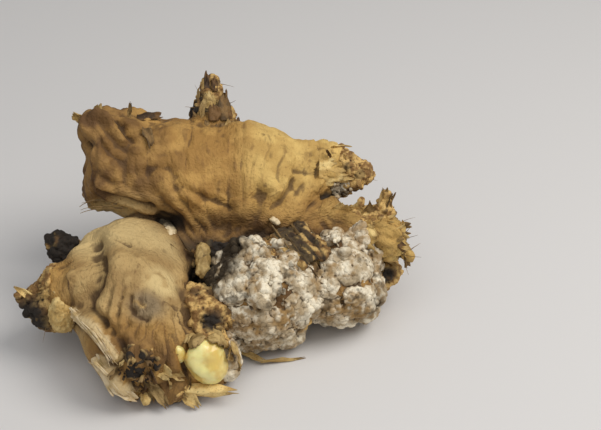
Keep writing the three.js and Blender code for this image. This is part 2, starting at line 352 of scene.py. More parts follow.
# The fine fibres in the skin run the same way as the folds.
turned = ramp(-x, 32, 39)[:, None]
left_fibres = front_folds * (1 - turned) + side_fibres * turned
other = 1 - np.clip(body + left + part["crown"], 0, 1)
fibre_way = body[:, None] * fan + left[:, None] * left_fibres + part["crown"][:, None] * ribs
keep_places(skin_mesh, "fibre", fibre_way + other[:, None] * flow)
keep_value(skin_mesh, "mark", skin_marks)
keep_value(skin_mesh, "brown", np.clip(brown, 0, 1))
keep_value(skin_mesh, "ripe", body * ramp(x, 2, 16) * ramp(z, 35, 45) + part["crown"])
keep_value(skin_mesh, "pale", left * (1 - ramp(-y, 28, 40)))
torn = np.zeros(len(x))
for line in TORN_EDGES:
    ragged_gap = beside(skin_points, line) + 0.9 * wave(skin_points, 1.5, 4.8)
    torn = np.maximum(torn, 1 - ramp(ragged_gap, 1.2, 1.9))
keep_value(skin_mesh, "torn", torn)
worn = spot(skin_points, *WORN["scar"]) * ramp(wave(skin_points, 3, 7.7), -0.5, -0.2)
keep_value(skin_mesh, "worn", worn)
# Painted light: the left finger's top is painted paler, lifting the shadow the main finger casts on it; it is
# kept with the peeled patch.
painted_dome_light = 0.75 * left * ramp(z, 25, 30) * ramp(y, -15, -5)
peeled_and_painted_light = spot(skin_points, *WORN["peeled_and_painted_light"]) * ramp(wave(skin_points, 3, 1.7), -0.4, -0.05)
keep_value(skin_mesh, "peeled_and_painted_light", np.maximum(peeled_and_painted_light, painted_dome_light))
# The black value is the stub's own dark colour, and painted shade in that gap.
keep_value(skin_mesh, "black", np.clip(part["stub"] + painted_gap_shadow * 0.95, 0, 1))


def new_material(name, roughness):
    """A material with a plain surface shader, and what its nodes are reached by."""
    material = bpy.data.materials.new(name)
    material.use_nodes = True
    tree = material.node_tree
    surface = tree.nodes["Principled BSDF"]
    surface.inputs["Roughness"].default_value = roughness
    return material, tree, surface


def node(tree, kind, settings=None, **inputs):
    """A new node. A value that is a socket is linked, and any other is set."""
    made = tree.nodes.new(kind)
    for key, value in (settings or {}).items():
        setattr(made, key, value)
    for key, value in inputs.items():
        socket = made.inputs[int(key[1:])] if key[1:].isdigit() else made.inputs[key.replace("_", " ")]
        if isinstance(value, bpy.types.NodeSocket):
            tree.links.new(value, socket)
        else:
            socket.default_value = value
    return made


def stored(tree, name):
    return node(tree, "ShaderNodeAttribute", {"attribute_name": name}).outputs["Fac"]


def mixed(tree, share, first, second):
    """First turns to second as share goes from 0 to 1. Each is a socket, or red, green and blue."""
    first, second = [(*colour, 1) if isinstance(colour, tuple) else colour for colour in (first, second)]
    made = node(tree, "ShaderNodeMix", {"data_type": "RGBA"}, _0=share, _6=first, _7=second)
    return made.outputs[2]


def reached(tree, value, low, high, top=1.0):
    """0 where the value is low, top where it is high, and smooth between them."""
    made = node(tree, "ShaderNodeMapRange", {"interpolation_type": "SMOOTHSTEP"},
                Value=value, From_Min=low, From_Max=high, To_Min=0.0, To_Max=top)
    return made.outputs["Result"]


def speckle_group():
    """Fine grain for every dry surface: broad mottling, close speckles and a height, from two noises."""
    group = bpy.data.node_groups.new("dry grain", "ShaderNodeTree")
    face = group.interface
    for name, value in {"Mottle Size": 0.006, "Speckle Size": 0.001}.items():
        face.new_socket(name, in_out="INPUT", socket_type="NodeSocketFloat").default_value = value
    for name in ("Mottle", "Speckle", "Height"):
        face.new_socket(name, in_out="OUTPUT", socket_type="NodeSocketFloat")
    given = group.nodes.new("NodeGroupInput")
    place = group.nodes.new("ShaderNodeTexCoord").outputs["Object"]
    out = group.nodes.new("NodeGroupOutput")

    def grain(size, detail):
        scale = node(group, "ShaderNodeMath", {"operation": "DIVIDE"}, _0=1.0, _1=size).outputs[0]
        return node(group, "ShaderNodeTexNoise", Vector=place, Scale=scale, Detail=detail).outputs["Fac"]

    mottle = grain(given.outputs["Mottle Size"], 4.0)
    speckle = grain(given.outputs["Speckle Size"], 3.0)
    height = node(group, "ShaderNodeMath", {"operation": "MULTIPLY_ADD"}, _0=speckle, _1=0.7, _2=mottle)
    group.links.new(mottle, out.inputs["Mottle"])
    group.links.new(speckle, out.inputs["Speckle"])
    group.links.new(height.outputs[0], out.inputs["Height"])
    return group


DRY_GRAIN = speckle_group()


def mottled(tree, grain, low, high, first, second):
    """First turns to second in broad mottling."""
    return mixed(tree, reached(tree, grain["Mottle"], low, high), first, second)


def grained(tree, mottle_size, speckle_size):
    made = node(tree, "ShaderNodeGroup", {"node_tree": DRY_GRAIN})
    made.inputs["Mottle Size"].default_value = mottle_size * MM
    made.inputs["Speckle Size"].default_value = speckle_size * MM
    return made.outputs


def roughen(tree, surface, height, strength, depth):
    """Gives the surface a fine relief of the given depth in millimetres."""
    bump = node(tree, "ShaderNodeBump", Height=height, Strength=strength, Distance=depth * MM)
    tree.links.new(bump.outputs["Normal"], surface.inputs["Normal"])


def shade_group():
    """Painted shade for every dry surface: it darkens the colour in creases and deep in the gaps between the
    fingers.
    """
    group = bpy.data.node_groups.new("dark creases", "ShaderNodeTree")
    face = group.interface
    for name in ("Color", "Crease Color"):
        face.new_socket(name, in_out="INPUT", socket_type="NodeSocketColor")
    for name, value in {"Crease Start": 0.1, "Crease End": 0.9, "Crease Share": 0.9}.items():
        face.new_socket(name, in_out="INPUT", socket_type="NodeSocketFloat").default_value = value
    face.new_socket("Color", in_out="OUTPUT", socket_type="NodeSocketColor")
    given = group.nodes.new("NodeGroupInput").outputs
    out = group.nodes.new("NodeGroupOutput")
    # Painted shade: darker toward the crease colour in creases, and near black deep between the fingers.
    creased = reached(group, stored(group, "hollow"),
                      given["Crease Start"], given["Crease End"], given["Crease Share"])
    colour = mixed(group, creased, given["Color"], given["Crease Color"])
    deep_down = reached(group, stored(group, "deep"), 0.28, 0.72, 0.95)
    colour = mixed(group, deep_down, colour, (0.016, 0.009, 0.003))
    group.links.new(colour, out.inputs["Color"])
    return group


PAINTED_CREASE_SHADE = shade_group()


def shaded(tree, colour, start, end, share, crease_colour):
    """Painted shade: the colour darkened by up to a share, as the hollow value goes from the start to the
    end.
    """
    made = node(tree, "ShaderNodeGroup", {"node_tree": PAINTED_CREASE_SHADE}, Color=colour,
                Crease_Color=(*crease_colour, 1), Crease_Start=start, Crease_End=end, Crease_Share=share)
    return made.outputs["Color"]


def fibres_seen(tree):
    """Fine streaks along the stored fibre direction."""
    along = node(tree, "ShaderNodeAttribute", {"attribute_name": "fibre"}).outputs["Vector"]
    return node(tree, "ShaderNodeTexNoise", Vector=along, Scale=0.8 / MM, Detail=3.0).outputs["Fac"]


def skin_material():
    material, tree, surface = new_material("dried skin", 0.8)
    grain = grained(tree, 7, 0.9)
    broad = reached(tree, grain["Mottle"], 0.4, 0.62)
    tan = mixed(tree, broad, (0.36, 0.19, 0.044), (0.50, 0.285, 0.075))
    ripe = mixed(tree, broad, (0.52, 0.325, 0.092), (0.68, 0.46, 0.145))
    beige = mixed(tree, broad, (0.36, 0.225, 0.081), (0.50, 0.335, 0.132))
    colour = mixed(tree, stored(tree, "ripe"), tan, ripe)
    colour = mixed(tree, stored(tree, "pale"), colour, beige)
    colour = mixed(tree, reached(tree, grain["Speckle"], 0.58, 0.75, 0.45), colour, (0.17, 0.078, 0.017))
    fibre = fibres_seen(tree)
    colour = mixed(tree, reached(tree, fibre, 0.56, 0.74, 0.5), colour, (0.13, 0.06, 0.016))
    # The pale peeled patch, and painted light on the left finger's top.
    colour = mixed(tree, stored(tree, "peeled_and_painted_light"), colour, (0.66, 0.49, 0.221))
    colour = mixed(tree, stored(tree, "worn"), colour, (0.27, 0.19, 0.098))
    darker = mixed(tree, broad, (0.12, 0.056, 0.014), (0.31, 0.168, 0.047))
    colour = mixed(tree, stored(tree, "brown"), colour, darker)
    colour = mixed(tree, stored(tree, "torn"), colour, (0.66, 0.49, 0.25))
    colour = mixed(tree, stored(tree, "black"), colour, (0.018, 0.012, 0.006))
    colour = mixed(tree, reached(tree, stored(tree, "mark"), 0.1, 0.9, 0.85), colour, (0.085, 0.038, 0.009))
    # Painted shade in creases and deep gaps.
    colour = shaded(tree, colour, 0.12, 1.0, 0.82, (0.07, 0.033, 0.01))
    tree.links.new(colour, surface.inputs["Base Color"])
    height = node(tree, "ShaderNodeMath", {"operation": "MULTIPLY_ADD"}, _0=fibre, _1=1.3, _2=grain["Height"])
    roughen(tree, surface, height.outputs[0], 0.9, 0.7)
    return material


def placed(mesh, name, material):
    """The mesh as a piece of the root, with its material, which rides with it."""
    piece = bpy.data.objects.new(name, mesh)
    bpy.context.collection.objects.link(piece)
    mesh.materials.clear()
    mesh.materials.append(material)
    mesh.shade_smooth()
    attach(piece, "root")
    return piece


skin = placed(skin_mesh, "rhizome_skin", skin_material())
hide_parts("ginger_rhizome")

# ---------------------------------------------------------------------------------------------------------
# The mould. A dry crust of fungus has grown over both front knobs in cauliflower lumps a few millimetres
# across. It is chalky where it is fresh, grey and brown where it is old, and split by cracks painted dark as
# shade.

CHANCE = np.random.default_rng(11)
sculpted = points_of(skin_mesh)
outward = normals_of(skin_mesh)
skin_places = KDTree(len(sculpted))
for number, place in enumerate(sculpted.tolist()):
    skin_places.insert(place, number)
skin_places.balance()


def sprinkled(weight, count):
    """The numbers of skin points picked by chance, more often where their weight is high."""
    return CHANCE.choice(len(weight), count, replace=False, p=weight / weight.sum())


def spread_out(reach, spacing):
    """The numbers of skin points picked by chance where the reach is high, one in each cube of a spacing."""
    picked = CHANCE.permutation(np.flatnonzero(CHANCE.random(len(reach)) < reach))
    return picked[np.unique(sculpted[picked] // spacing, axis=0, return_index=True)[1]]


def on_skin(picked, lift):
    """The picked skin points, lifted off the skin by a distance in millimetres."""
    return sculpted[picked] + lift * outward[picked]


def lumps(name, heaps, grain, swellings, smoothing=2):
    """Balls melted into one closed crust. A heap is places with the least and greatest radius. A swelling is
    the size and height of the round heads that the crust then swells into. All are in millimetres."""
    one = bmesh.new()
    bmesh.ops.create_icosphere(one, subdivisions=2, radius=1)
    ball = np.array([vert.co for vert in one.verts])
    ball_faces = np.array([[vert.index for vert in face.verts] for face in one.faces])
    one.free()
    radii = np.concatenate([CHANCE.uniform(least, greatest, len(heap)) for heap, least, greatest in heaps])
    places = np.concatenate([heap for heap, least, greatest in heaps])
    sizes = radii[:, None] * CHANCE.uniform(0.75, 1.25, (len(places), 3))
    corners = places[:, None] + ball * sizes[:, None]
    starts = len(ball) * np.arange(len(places))
    balls = bpy.data.meshes.new(name + "_balls")
    faces = (ball_faces + starts[:, None, None]).reshape(-1, 3)
    balls.from_pydata((corners.reshape(-1, 3) * MM).tolist(), [], faces.tolist())
    crust = redrawn(balls, name, grain * MM, smoothing)
    points = points_of(crust)
    swell = 0.38 * wave(points, 0.8, 3.1) + 0.35 * folded(points, 2.6, 2.3)
    for size, height in swellings:
        swell += height * (bulges(points, size, size) - 0.6)
    put_points(crust, points + normals_of(crust) * swell[:, None])
    # Painted shade: how deep each point lies in a crease and, from the skin beneath, between the fingers.
    creases = 0.4 * hollows(crust, 6, 0.22) + 0.8 * hollows(crust, 45, 1.0)
    keep_value(crust, "hollow", np.clip(creases, -1, 1))
    keep_value(crust, "deep", deep[[skin_places.find(point)[1] for point in points.tolist()]])
    return crust


def mould_material():
    material, tree, surface = new_material("mould", 0.95)
    grain = grained(tree, 4, 0.6)
    chalk = mottled(tree, grain, 0.4, 0.62, (0.46, 0.36, 0.225), (0.86, 0.77, 0.59))
    colour = mixed(tree, stored(tree, "bare"), chalk, (0.34, 0.205, 0.075))
    # Sooty patches, and painted shade in the cracks between the lumps.
    colour = mixed(tree, stored(tree, "sooty_and_painted_shade"), colour, (0.04, 0.027, 0.013))
    colour = mixed(tree, reached(tree, grain["Speckle"], 0.58, 0.7, 0.5), colour, (0.16, 0.105, 0.047))
    # Painted shade in creases and deep gaps.
    colour = shaded(tree, colour, 0.05, 0.8, 0.92, (0.085, 0.047, 0.017))
    tree.links.new(colour, surface.inputs["Base Color"])
    roughen(tree, surface, grain["Height"], 0.9, 0.4)
    return material


MOULD = mould_material()
MOULD_GRAIN = 0.3
sx, sy, sz = sculpted.T
ragged = 0.25 * wave(sculpted, 3, 2.2)
# Each crust's reach, its fluffy tufts, and the places where it is sooty and where bare, with their radius.
CRUSTS = {
    "mould_front": (ramp(part["front"] + ragged, 0.5, 0.62) * ramp(-sy, 6, 10),
                    [(7.3, -9.8, 33.6), (12.8, -14, 34), (9.5, -11, 34), (13.5, -26, 25.5)],
                    [((-2, -12, 29), 14), ((4, -9, 33), 8)], [((20.1, -25.8, 19.6), 7), ((11, -27, 17), 5)]),
    "mould_right": (ramp(part["right"] + ragged, 0.5, 0.62) * ramp(-sy, -3, 1) * ramp(sx, 27.5, 30.5),
                    [(34.5, -4, 31.5), (36.5, -8, 30.5)],
                    [((45, -9, 14), 7)], [((37.8, -19, 18), 7), ((32, -17, 15), 6), ((42, -16, 14), 6)]),
}
for name, (reach, tufts, sooty_spots, bare_spots) in CRUSTS.items():
    fluff = [np.array(tuft) + CHANCE.normal(0, 1.1, 3) for tuft in tufts for _ in range(9)]
    shell = on_skin(spread_out(reach, 1.5), -0.8)
    heads = on_skin(spread_out(reach * ramp(wave(sculpted, 6, 3.8), -0.1, 0.3), 2.4), 0.2)
    granules = on_skin(spread_out(reach * 0.7, 1.1), 0.75)
    heaps = [(shell, 1.2, 1.8), (heads, 0.5, 1.3), (granules, 0.35, 0.7), (fluff, 0.4, 1.0)]
    crust = lumps(name, heaps, MOULD_GRAIN, [(6.5, 2.6), (2.4, 0.45)])
    at = points_of(crust)
    bare = 0.75 * ramp(wave(at, 8, 9.3) + 0.8 * wave(at, 2.1, 2.3) + 0.4 * wave(at, 0.9, 5.4), 0.1, 0.5)
    sooty_and_painted_shade = 0.6 * ramp(wave(at, 6, 4.1) + 0.7 * wave(at, 1.8, 3.3) + 0.4 * wave(at, 0.8, 6.4), 0.35, 0.6)
    # Painted shade: the cracks between the lumps are painted near black with the sooty colour.
    sooty_and_painted_shade = np.maximum(sooty_and_painted_shade, 0.95 * ramp(hollows(crust, 160, 2.2), 0.15, 0.6))
    for centre, radius in bare_spots:
        bare = np.maximum(bare, spot(at, centre, radius) * ramp(wave(at, 1.8, 7.2), -0.5, 0.1))
    for centre, radius in sooty_spots:
        sooty_and_painted_shade = np.maximum(sooty_and_painted_shade, 1.2 * spot(at, centre, radius) * ramp(wave(at, 2.5, 5.2), -0.5, -0.1))
    keep_value(crust, "bare", bare)
    keep_value(crust, "sooty_and_painted_shade", np.clip(sooty_and_painted_shade, 0, 1))
    placed(crust, name, MOULD)

# A little mould has begun under the main finger's tip.
young = on_skin(spread_out(spot(sculpted, (36.8, 16.2, 37), 4), 0.8), 0.3)
placed(lumps("mould_tip", [(young, 0.3, 0.6)], 0.2, []), "mould_tip", MOULD)

# ---------------------------------------------------------------------------------------------------------
# The crumbling ends. Where buds and broken ends have rotted, the tissue has dried to brown and black
# crumbs: on the buds, the main finger's tip, the side knob, the stub, the rough knob, the torn foot and in
# the gap above the mould.


def crumb_material():
    material, tree, surface = new_material("rotten crumbs", 0.88)
    grain = grained(tree, 2.6, 0.5)
    brown = mottled(tree, grain, 0.42, 0.6, (0.24, 0.125, 0.037), (0.66, 0.43, 0.15))
    colour = mixed(tree, stored(tree, "black"), brown, (0.020, 0.014, 0.009))
    colour = mixed(tree, reached(tree, grain["Speckle"], 0.57, 0.7, 0.6), colour, (0.05, 0.024, 0.008))
    # Painted shade in creases and deep gaps.
    colour = shaded(tree, colour, 0.0, 0.75, 0.95, (0.016, 0.009, 0.004))
    tree.links.new(colour, surface.inputs["Base Color"])
    roughen(tree, surface, grain["Height"], 0.9, 0.35)
    return material


CRUMBS = crumb_material()
CRUMB_GRAIN = 0.34
tip_reach = part["main"] * ramp(sx, 36, 39)
torn_foot = np.maximum(spot(sculpted, (-22, -43, 17), 9), 0.9 * part["foot"])
torn_foot *= ramp(wave(sculpted, 3, 8.8), -0.5, 0)
# Each end's reach, its crumbs' spacing and greatest radius, how far it is sunk in, and where it is black.
CRUMBLING = {
    "bud_crumbs": (part["back_bud"] ** 2 * ramp(sz, 49, 51), 1.3, 1.1, -0.1, ((-7, 33, 54), 8)),
    "tip_crumbs": (tip_reach, 1.1, 0.8, -0.5, ((39, 18, 44), 2)),
    "side_crumbs": (part["side"] ** 2 * ramp(-sx, 48, 51), 1.2, 1.0, -0.5, ((-55, -21, 16), 10)),
    "stub_crumbs": (part["stub"] ** 2 * ramp(-sx, 42, 45), 1.2, 1.1, -0.1, ((-50, 4, 24), 90)),
    "knob_crumbs": (part["rough"] ** 2 * ramp(-sy, 13, 17), 1.1, 0.9, 0.4, ((-1, -28, 20), 5)),
    "foot_crumbs": (torn_foot ** 1.5, 1.0, 0.75, -0.7, ((-21, -43, 15), 11)),
    "eye_crumbs": (part["bud"] ** 2 * ramp(sx, 45, 48), 1.1, 0.9, -0.4, ((51.5, 1.5, 14.5), 4)),
    "gap_crumbs": (np.maximum(part["front"] * (1 - ramp(-sy, 9, 12)), part["right"] * (1 - ramp(sx, 28, 31)))
                   * ramp(-sy, 1, 4), 1.3, 1.0, -0.6, ((4, -4, 30), 15)),
}
for name, (reach, spacing, greatest, lift, soot) in CRUMBLING.items():
    reach = reach * ramp(reach, 0.15, 0.45)
    shell = on_skin(spread_out(reach, spacing), lift)
    strays = on_skin(spread_out(reach * 0.3, 1.8 * spacing), lift + 0.5)
    heaps = [(shell, 0.7 * greatest, greatest), (strays, 0.4 * greatest, 0.8 * greatest)]
    crust = lumps(name, heaps, CRUMB_GRAIN, [(3, 0.6), (1.3, 0.4)])
    at = points_of(crust)
    black = spot(at, *soot) * ramp(wave(at, 3, 1.2), -0.8, -0.35) + 0.5 * ramp(wave(at, 4, 6.2), 0.25, 0.45)
    keep_value(crust, "black", np.clip(black, 0, 1))
    placed(crust, name, CRUMBS)

# The brown shoulder is a sheaf of shrunken ribs that runs down between the two mouldy knobs.
RIB_RUN = (9.4, -11.5, -2.6)
rib_starts = np.array((16.2, -3.4, 32.4)) + np.arange(7)[:, None] * np.array((1.25, 1.2, 0.1))
sheaf = np.concatenate([np.linspace(start, start + RIB_RUN, 20) for start in rib_starts])
sheaf += 1.3 * np.stack([wave(sheaf, 5, seed) for seed in (2.4, 5.8, 9.2)], axis=1)
crust = lumps("shoulder_ribs", [(sheaf, 0.85, 1.3)], CRUMB_GRAIN, [], smoothing=3)
stripes = wave(stretched(points_of(crust), RIB_RUN, 0.12), 1.5, 1.2)
keep_value(crust, "black", 0.15 + 0.75 * ramp(stripes, -0.1, 0.2))
placed(crust, "shoulder_ribs", CRUMBS)

# ---------------------------------------------------------------------------------------------------------
# The scale leaves. Thin papery leaves once wrapped every bud. They have dried brown, curled and torn, and
# stand round the crown finger, up the back bud, at the main finger's tip and round the broken bud.


def leaf(sheet, values, root, tip, width, cup, facing, age=0.4, thickness=0.3):
    """Adds one leaf from root to tip, cupped across by a height, facing a direction and torn at its tip."""
    root, tip, facing = Vector(root), Vector(tip), Vector(facing).normalized()
    seed = 0.37 * root.x + 0.71 * tip.z
    way = tip - root
    across = way.cross(facing).normalized()
    up = across.cross(way).normalized()
    made = bmesh.ops.create_grid(sheet, x_segments=8, y_segments=10, size=0.5)["verts"]
    for vert in made:
        side, along = 2 * vert.co.x, vert.co.y + 0.5
        tear = 1 + 0.5 * along * noise.noise((2.6 * side + seed, 0, seed))
        wide = width * (0.6 + 0.75 * along - 0.95 * along ** 3)
        wide = wide * (1 + 0.4 * noise.noise((seed, 4 * along, side)))
        lift = cup * (side * side - 0.4) + 0.9 * noise.noise((2 * side, 2.6 * along, 3 * seed))
        lift += 0.25 * noise.noise((5 * side, 2 * along, seed))
        lift += 0.35 * way.length * noise.noise((seed, 1.7, 2.2)) * along * along
        vert.co = (root + way * (along * tear) + across * (side * wide / 2) + up * lift) * MM
        vert.co.z = max(vert.co.z, 0.4 * MM)
        vert[values["tip"]] = along
        vert[values["age"]] = age
    faces = list({face for vert in made for face in vert.link_faces})
    for item in bmesh.ops.extrude_face_region(sheet, geom=faces)["geom"]:
        if isinstance(item, bmesh.types.BMVert):
            item.co -= up * thickness * MM


def leaves(name, stalks, material):
    """A piece of several leaves. Each stalk is what leaf() takes."""
    sheet = bmesh.new()
    values = {value: sheet.verts.layers.float.new(value) for value in ("tip", "age")}
    for stalk in stalks:
        leaf(sheet, values, *stalk)
    bmesh.ops.recalc_face_normals(sheet, faces=sheet.faces)
    mesh = bpy.data.meshes.new(name)
    sheet.to_mesh(mesh)
    sheet.free()
    piece = placed(mesh, name, material)
    rounded = piece.modifiers.new("rounded", "SUBSURF")
    rounded.levels = 1
    rounded.render_levels = 1


def leaf_material():
    material, tree, surface = new_material("scale leaf", 0.75)
    grain = grained(tree, 3.5, 0.5)
    fresh = mottled(tree, grain, 0.4, 0.6, (0.62, 0.4, 0.125), (0.84, 0.62, 0.25))
    old = mottled(tree, grain, 0.4, 0.6, (0.045, 0.022, 0.007), (0.17, 0.085, 0.023))
    colour = mixed(tree, stored(tree, "age"), fresh, old)
    colour = mixed(tree, reached(tree, stored(tree, "tip"), 0.7, 1.15, 0.6), colour, (0.085, 0.04, 0.012))
    colour = mixed(tree, reached(tree, grain["Speckle"], 0.56, 0.7, 0.5), colour, (0.08, 0.038, 0.011))
    # Painted shade in creases and deep gaps.
    colour = shaded(tree, colour, 0.1, 0.9, 0.85, (0.05, 0.024, 0.008))
    tree.links.new(colour, surface.inputs["Base Color"])
    roughen(tree, surface, grain["Height"], 0.8, 0.25)
    return material


SCALE_LEAF = leaf_material()


def ring_of_leaves(centre, axis, radius, length, width, count, lean, age):
    """Stalks that stand in a ring round an axis and lean outward."""
    axis = Vector(axis).normalized()
    side = axis.orthogonal().normalized()
    stalks = []
    for number in range(count):
        out = Matrix.Rotation(6.283 * number / count + CHANCE.uniform(-0.25, 0.25), 3, axis) @ side
        root = Vector(centre) + out * radius * CHANCE.uniform(0.85, 1.05)
        tip = root + (axis + out * lean) * length * CHANCE.uniform(0.6, 1.3)
        leaf_width = width * CHANCE.uniform(0.7, 1.25)
        stalks.append((root, tip, leaf_width, -0.6, out, age * CHANCE.uniform(0.3, 1.5)))
    return stalks


leaves("crown_leaves", [
    ((37, 8.5, 32.5), (37.5, 8.5, 36.5), 6, 0.9, (0, -1, 0.3), 0.1),
    ((41, 7.5, 33), (42, 8, 37), 6, 1, (0, -1, 0.3), 0.2),
    ((45, 6.5, 33), (45.5, 7.5, 37.5), 4, 0.9, (0.3, -1, 0), 0.8),
    ((49, 7, 33), (50, 8.5, 41), 3.4, 1, (0.3, -1, 0), 0.6),
    ((50.5, 6.5, 33), (52.6, 7.5, 40), 2.4, 0.8, (0.6, -1, 0), 0.9),
    ((53, 3, 30), (56, 2.5, 33), 6, 1, (0.5, 0, 1), 0.1),
    ((52, 1, 28.5), (57.5, 0.5, 27.5), 7, 1.2, (0.5, -1, 0.4), 0.2),
    ((54.5, 2, 27), (58.5, 1.5, 22), 5.5, 1, (1, -0.4, 0.3), 0.3),
    ((56.5, 1.5, 24), (58, 0.5, 18.5), 3.5, 0.8, (1, -0.5, 0), 0.9),
    *ring_of_leaves((41, 8.4, 27.5), (1, -0.4, -0.1), 7, 5, 5.5, 10, 0.2, 0.1),
    *ring_of_leaves((44.5, 6.8, 27.2), (1, -0.35, 0), 6.6, 5, 5.2, 10, 0.35, 0.2),
    *ring_of_leaves((48, 5.6, 26.8), (1, -0.3, 0), 5.8, 5, 4.8, 9, 0.4, 0.45),
    *ring_of_leaves((52, 4.4, 26), (1, -0.2, 0), 4.4, 4.5, 4.4, 8, 0.35, 0.7),
], SCALE_LEAF)
leaves("bud_leaves", [
    *ring_of_leaves((-2, 29.5, 47), (-0.05, 0.6, 0.8), 8.5, 6, 6, 11, -0.15, 0.8),
    *ring_of_leaves((-2.5, 32, 51), (-0.05, 0.6, 0.8), 7, 6, 5.5, 10, -0.15, 1.0),
    *ring_of_leaves((-3, 35, 54), (-0.05, 0.6, 0.8), 5, 5.5, 4.5, 8, -0.2, 1.0),
    *ring_of_leaves((-3.2, 39, 58), (-0.05, 0.6, 0.8), 3, 4.5, 3.4, 6, -0.25, 1.1),
], SCALE_LEAF)
leaves("tip_leaves", [
    *ring_of_leaves((30, 22, 39.5), (1, 0, -0.05), 8.0, 6.5, 5, 10, -0.12, 0.1),
    *ring_of_leaves((34.5, 22, 39), (1, 0, -0.05), 6.2, 5, 4, 9, -0.05, 0.25),
    *ring_of_leaves((39, 22, 38.5), (1, 0, -0.05), 4.6, 4, 3.2, 8, -0.1, 0.5),
    ((34, 19, 46.5), (32.5, 18, 50), 1.2, 0.3, (0, -1, 0.5), 1),
], SCALE_LEAF)
leaves("old_end_leaves", [
    ((-37, 20, 60.5), (-36, 21, 63.5), 4.5, 0.8, (0.2, -1, 0.3), 0.5),
    ((-41.5, 19.5, 59.5), (-43.5, 19, 62), 4, 0.8, (-0.3, -1, 0.5), 0.3),
    ((-27.5, 22, 59), (-26.8, 22.5, 63.6), 1.6, 0.4, (0.2, -1, 0.2), 0.8),
    ((-25.5, 25, 57), (-18, 27.5, 56.8), 3.4, 0.6, (0, -0.5, 1), 1.2),
    ((-22, 19, 57.5), (-20.5, 13, 56), 4, 0.5, (0.4, -0.4, 0.8), 0.9),
], SCALE_LEAF)
leaves("socket_leaves", [
    *ring_of_leaves((-2.6, -33, 12.4), (0, -1, -0.05), 9, 5.5, 5.5, 12, 0.2, 0.5),
    ((-2, -30, 18.5), (2.5, -37, 19.5), 5, 0.8, (0, -0.3, 1), 0.5),
    ((4.6, -33, 14), (5.2, -40, 16), 5, 0.8, (1, -0.2, 0.2), 0.3),
    ((-9.5, -41.5, 5.5), (5.5, -41.2, 5), 5, -2, (0, -1, 0.5), 0.0),
    ((-9.5, -38, 10), (-8.5, -41.5, 5), 5.5, 1.4, (0, -1, 0.3), 0.9),
    ((-12.5, -36.5, 19), (-12.5, -40.5, 15), 3.4, 0.8, (-0.6, -1, 0.3), 0.8),
], SCALE_LEAF)
leaves("knob_leaves", [
    ((-54, -18.5, 21), (-59, -19.5, 25.5), 2.6, 0.7, (0, -1, 0.4), 0.0),
    ((-42, -21, 24), (-47, -20.5, 26), 4, 0.6, (0, -0.5, 1), 0.3),
    ((-39.5, -23, 24), (-42, -24.5, 18), 4.4, 0.8, (0, -1, 0.3), 0.3),
    ((-42, -24, 21), (-43.5, -25.5, 14), 3, 0.7, (0, -1, 0.2), 0.7),
    ((-47, -19, 25.5), (-52, -19.5, 24), 4, 0.8, (0, -0.7, 1), 0.4),
], SCALE_LEAF)
leaves("foot_leaves", [
    ((-27, -40, 20), (-24, -44, 13), 4.5, 0.9, (0, -1, 0.2), 0.9),
    *ring_of_leaves((-22.5, -42, 16), (0, -1, -0.2), 4, 4, 3.2, 8, 0.6, 0.8),
    *ring_of_leaves((-18, -41, 10), (0.1, -1, -0.2), 4, 4, 3.2, 8, 0.5, 0.7),
    ((-24, -42, 12), (-17, -44, 9), 4, 0.8, (0, -1, 0.3), 0.6),
    ((-19, -41.5, 10), (-14, -45, 3), 4, 0.9, (0, -1, 0.3), 0.7),
    ((-14, -40, 9), (-9, -43.5, 4), 4.5, 1, (0, -1, 0.4), 0.5),
    ((-11, -40.5, 6), (-5, -44, 1.5), 4.5, 0.8, (0, -1, 0.6), 0.2),
    ((-19, -40, 15), (-13, -43.5, 13.5), 5.5, 0.8, (0, -1, 0.6), 0.2),
    ((-22, -42, 15), (-20, -45, 9), 3, 0.9, (0, -1, 0), 1),
    ((-15, -41, 14), (-9, -41.5, 10.5), 4, 0.8, (0, -1, 0.5), 0.4),
], SCALE_LEAF)
leaves("shoulder_husk", [
    ((17.5, 2, 31), (23.5, -9.5, 30), 4, 1.4, (0.1, -0.2, 1), 1.0),
    ((19.5, 3.5, 32), (27, -8.5, 30.5), 4, 1.5, (0.1, -0.2, 1), 0.85),
    ((22.5, 4, 32), (30, -7, 30), 4, 1.5, (0.3, -0.2, 1), 0.95),
    ((25, 4, 31), (31.5, -5.5, 28.5), 4, 1.3, (0.6, -0.2, 1), 0.85),
    ((16.5, -3, 30.5), (22.5, -13, 30), 4.5, 1.3, (-0.1, -0.2, 1), 1),
    ((20, -6, 31.5), (25.5, -14, 29), 4, 1.2, (0, -0.4, 1), 0.85),
    ((24, -6.5, 31), (29, -13.5, 27.5), 4.5, 1.2, (0.2, -0.4, 1), 0.9),
], SCALE_LEAF)
leaves("floor_leaf", [
    ((3, -18, 3), (13.5, -24.5, 1.4), 2.4, 0.4, (0.1, -0.5, 1), 0.2),
    ((12.5, -24, 1.4), (24.5, -21.5, 0.9), 2, 0.4, (0, -0.3, 1), 0.4),
], SCALE_LEAF)

# ---------------------------------------------------------------------------------------------------------
# The broken bud's flesh. Its skin has split, and the moist pale yellow flesh bulges out of the socket of
# leaves as a ball, with a smaller one beside it.

FLESH_BALLS = {
    "flesh_bulge": ((-2.3, -37.4, 13.2), (6.4, 5.2, 7)),
    "flesh_bead": ((-10.3, -37.4, 15.8), (1.9, 2.2, 2.9)),
}


def flesh_material():
    material, tree, surface = new_material("moist flesh", 0.34)
    grain = grained(tree, 6, 0.8)
    colour = mottled(tree, grain, 0.36, 0.6, (0.78, 0.56, 0.15), (0.93, 0.83, 0.34))
    tree.links.new(colour, surface.inputs["Base Color"])
    surface.inputs["Subsurface Weight"].default_value = 0.25
    surface.inputs["Subsurface Radius"].default_value = (0.003, 0.002, 0.001)
    surface.inputs["Coat Weight"].default_value = 0.3
    roughen(tree, surface, grain["Height"], 0.25, 0.2)
    return material


